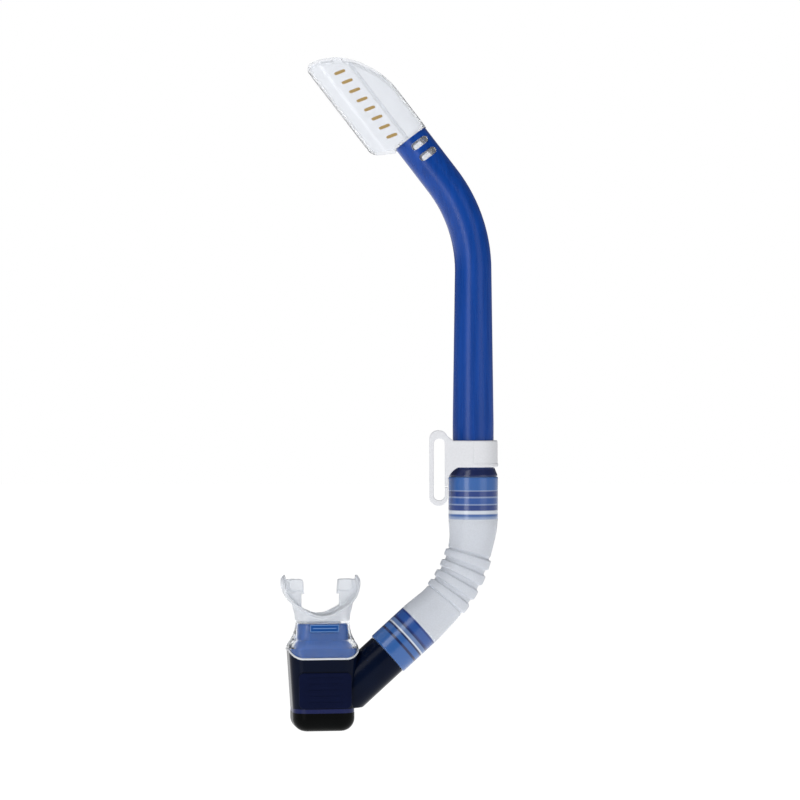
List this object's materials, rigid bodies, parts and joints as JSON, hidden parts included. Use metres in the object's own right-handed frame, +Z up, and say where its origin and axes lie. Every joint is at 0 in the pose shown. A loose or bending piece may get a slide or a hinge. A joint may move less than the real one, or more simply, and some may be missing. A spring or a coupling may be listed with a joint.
{
  "type": "snorkel",
  "caption": "Bent snorkel tube with clear splash-guard hood, white strap keeper, bellows silicone hose, clear mouthpiece and a bottom purge valve.",
  "frame": {"origin": "centre of the keeper's strap slot", "axes": "+Z up the straight barrel, +X from the strap slot towards the barrel, -Y out of the slot's front face; the barrel's axis is at x 22.2 mm, y 13.8 mm"},
  "size_m": [0.142, 0.0502, 0.434],
  "materials": {
    "guard_clear": "clear polycarbonate",
    "barrel_blue": "translucent cobalt blue",
    "adapter_blue": "translucent blue",
    "keeper_white": "satin white",
    "hose_silicone": "frosted silicone",
    "body_navy": "dark translucent navy",
    "panel_navy": "satin navy",
    "seat_blue": "blue",
    "neck_blue": "translucent blue",
    "cap_black": "satin black",
    "mouth_silicone": "clear silicone",
    "disc_silicone": "silicone"
  },
  "bodies": {
    "keeper": {"keeper": "keeper_white"},
    "barrel": {"barrel": "barrel_blue", "barrel_adapter": "adapter_blue", "splash_guard": "guard_clear", "splash_guard_baffle": "guard_clear"},
    "hose_upper": {"hose_upper_cuff": "hose_silicone", "hose_bellows": "hose_silicone"},
    "hose_lower": {"hose_lower_cuff": "hose_silicone"},
    "mouth_unit": {"pipe_adapter": "adapter_blue", "valve_body": "body_navy", "front_panel": "panel_navy", "purge_seat": "seat_blue", "purge_cap": "cap_black", "mouthpiece_neck": "neck_blue", "mouthpiece": "mouth_silicone"},
    "purge_disc": {"purge_diaphragm": "disc_silicone"}
  },
  "joints": [
    {"name": "barrel_turn", "type": "hinge", "parent": "keeper", "child": "barrel", "pos_m": [0.0222, 0.0138, 0.01], "axis": [0, 0, 1], "continuous": true},
    {"name": "hose_swivel", "type": "hinge", "parent": "barrel", "child": "hose_upper", "pos_m": [0.0222, 0.0138, -0.018], "axis": [0, 0, 1], "continuous": true},
    {"name": "hose_bend", "type": "hinge", "parent": "hose_upper", "child": "hose_lower", "pos_m": [0.01333, 0.01247, -0.07032], "axis": [-0.1478, 0.989, 0], "range_deg": [-30, 25], "stiffness_Nm_per_rad": 0.35, "springref_deg": 8.59, "deforming": ["hose_bellows"]},
    {"name": "body_swivel", "type": "hinge", "parent": "hose_lower", "child": "mouth_unit", "pos_m": [-0.03383, 0.00543, -0.11973], "axis": [0.735, 0.1098, 0.6691], "continuous": true},
    {"name": "purge_lift", "type": "slide", "parent": "mouth_unit", "child": "purge_disc", "axis": [0, 0, -1], "range_m": [0, 0.0015], "stiffness_N_per_m": 40, "springref_m": -0.0006}
  ]
}
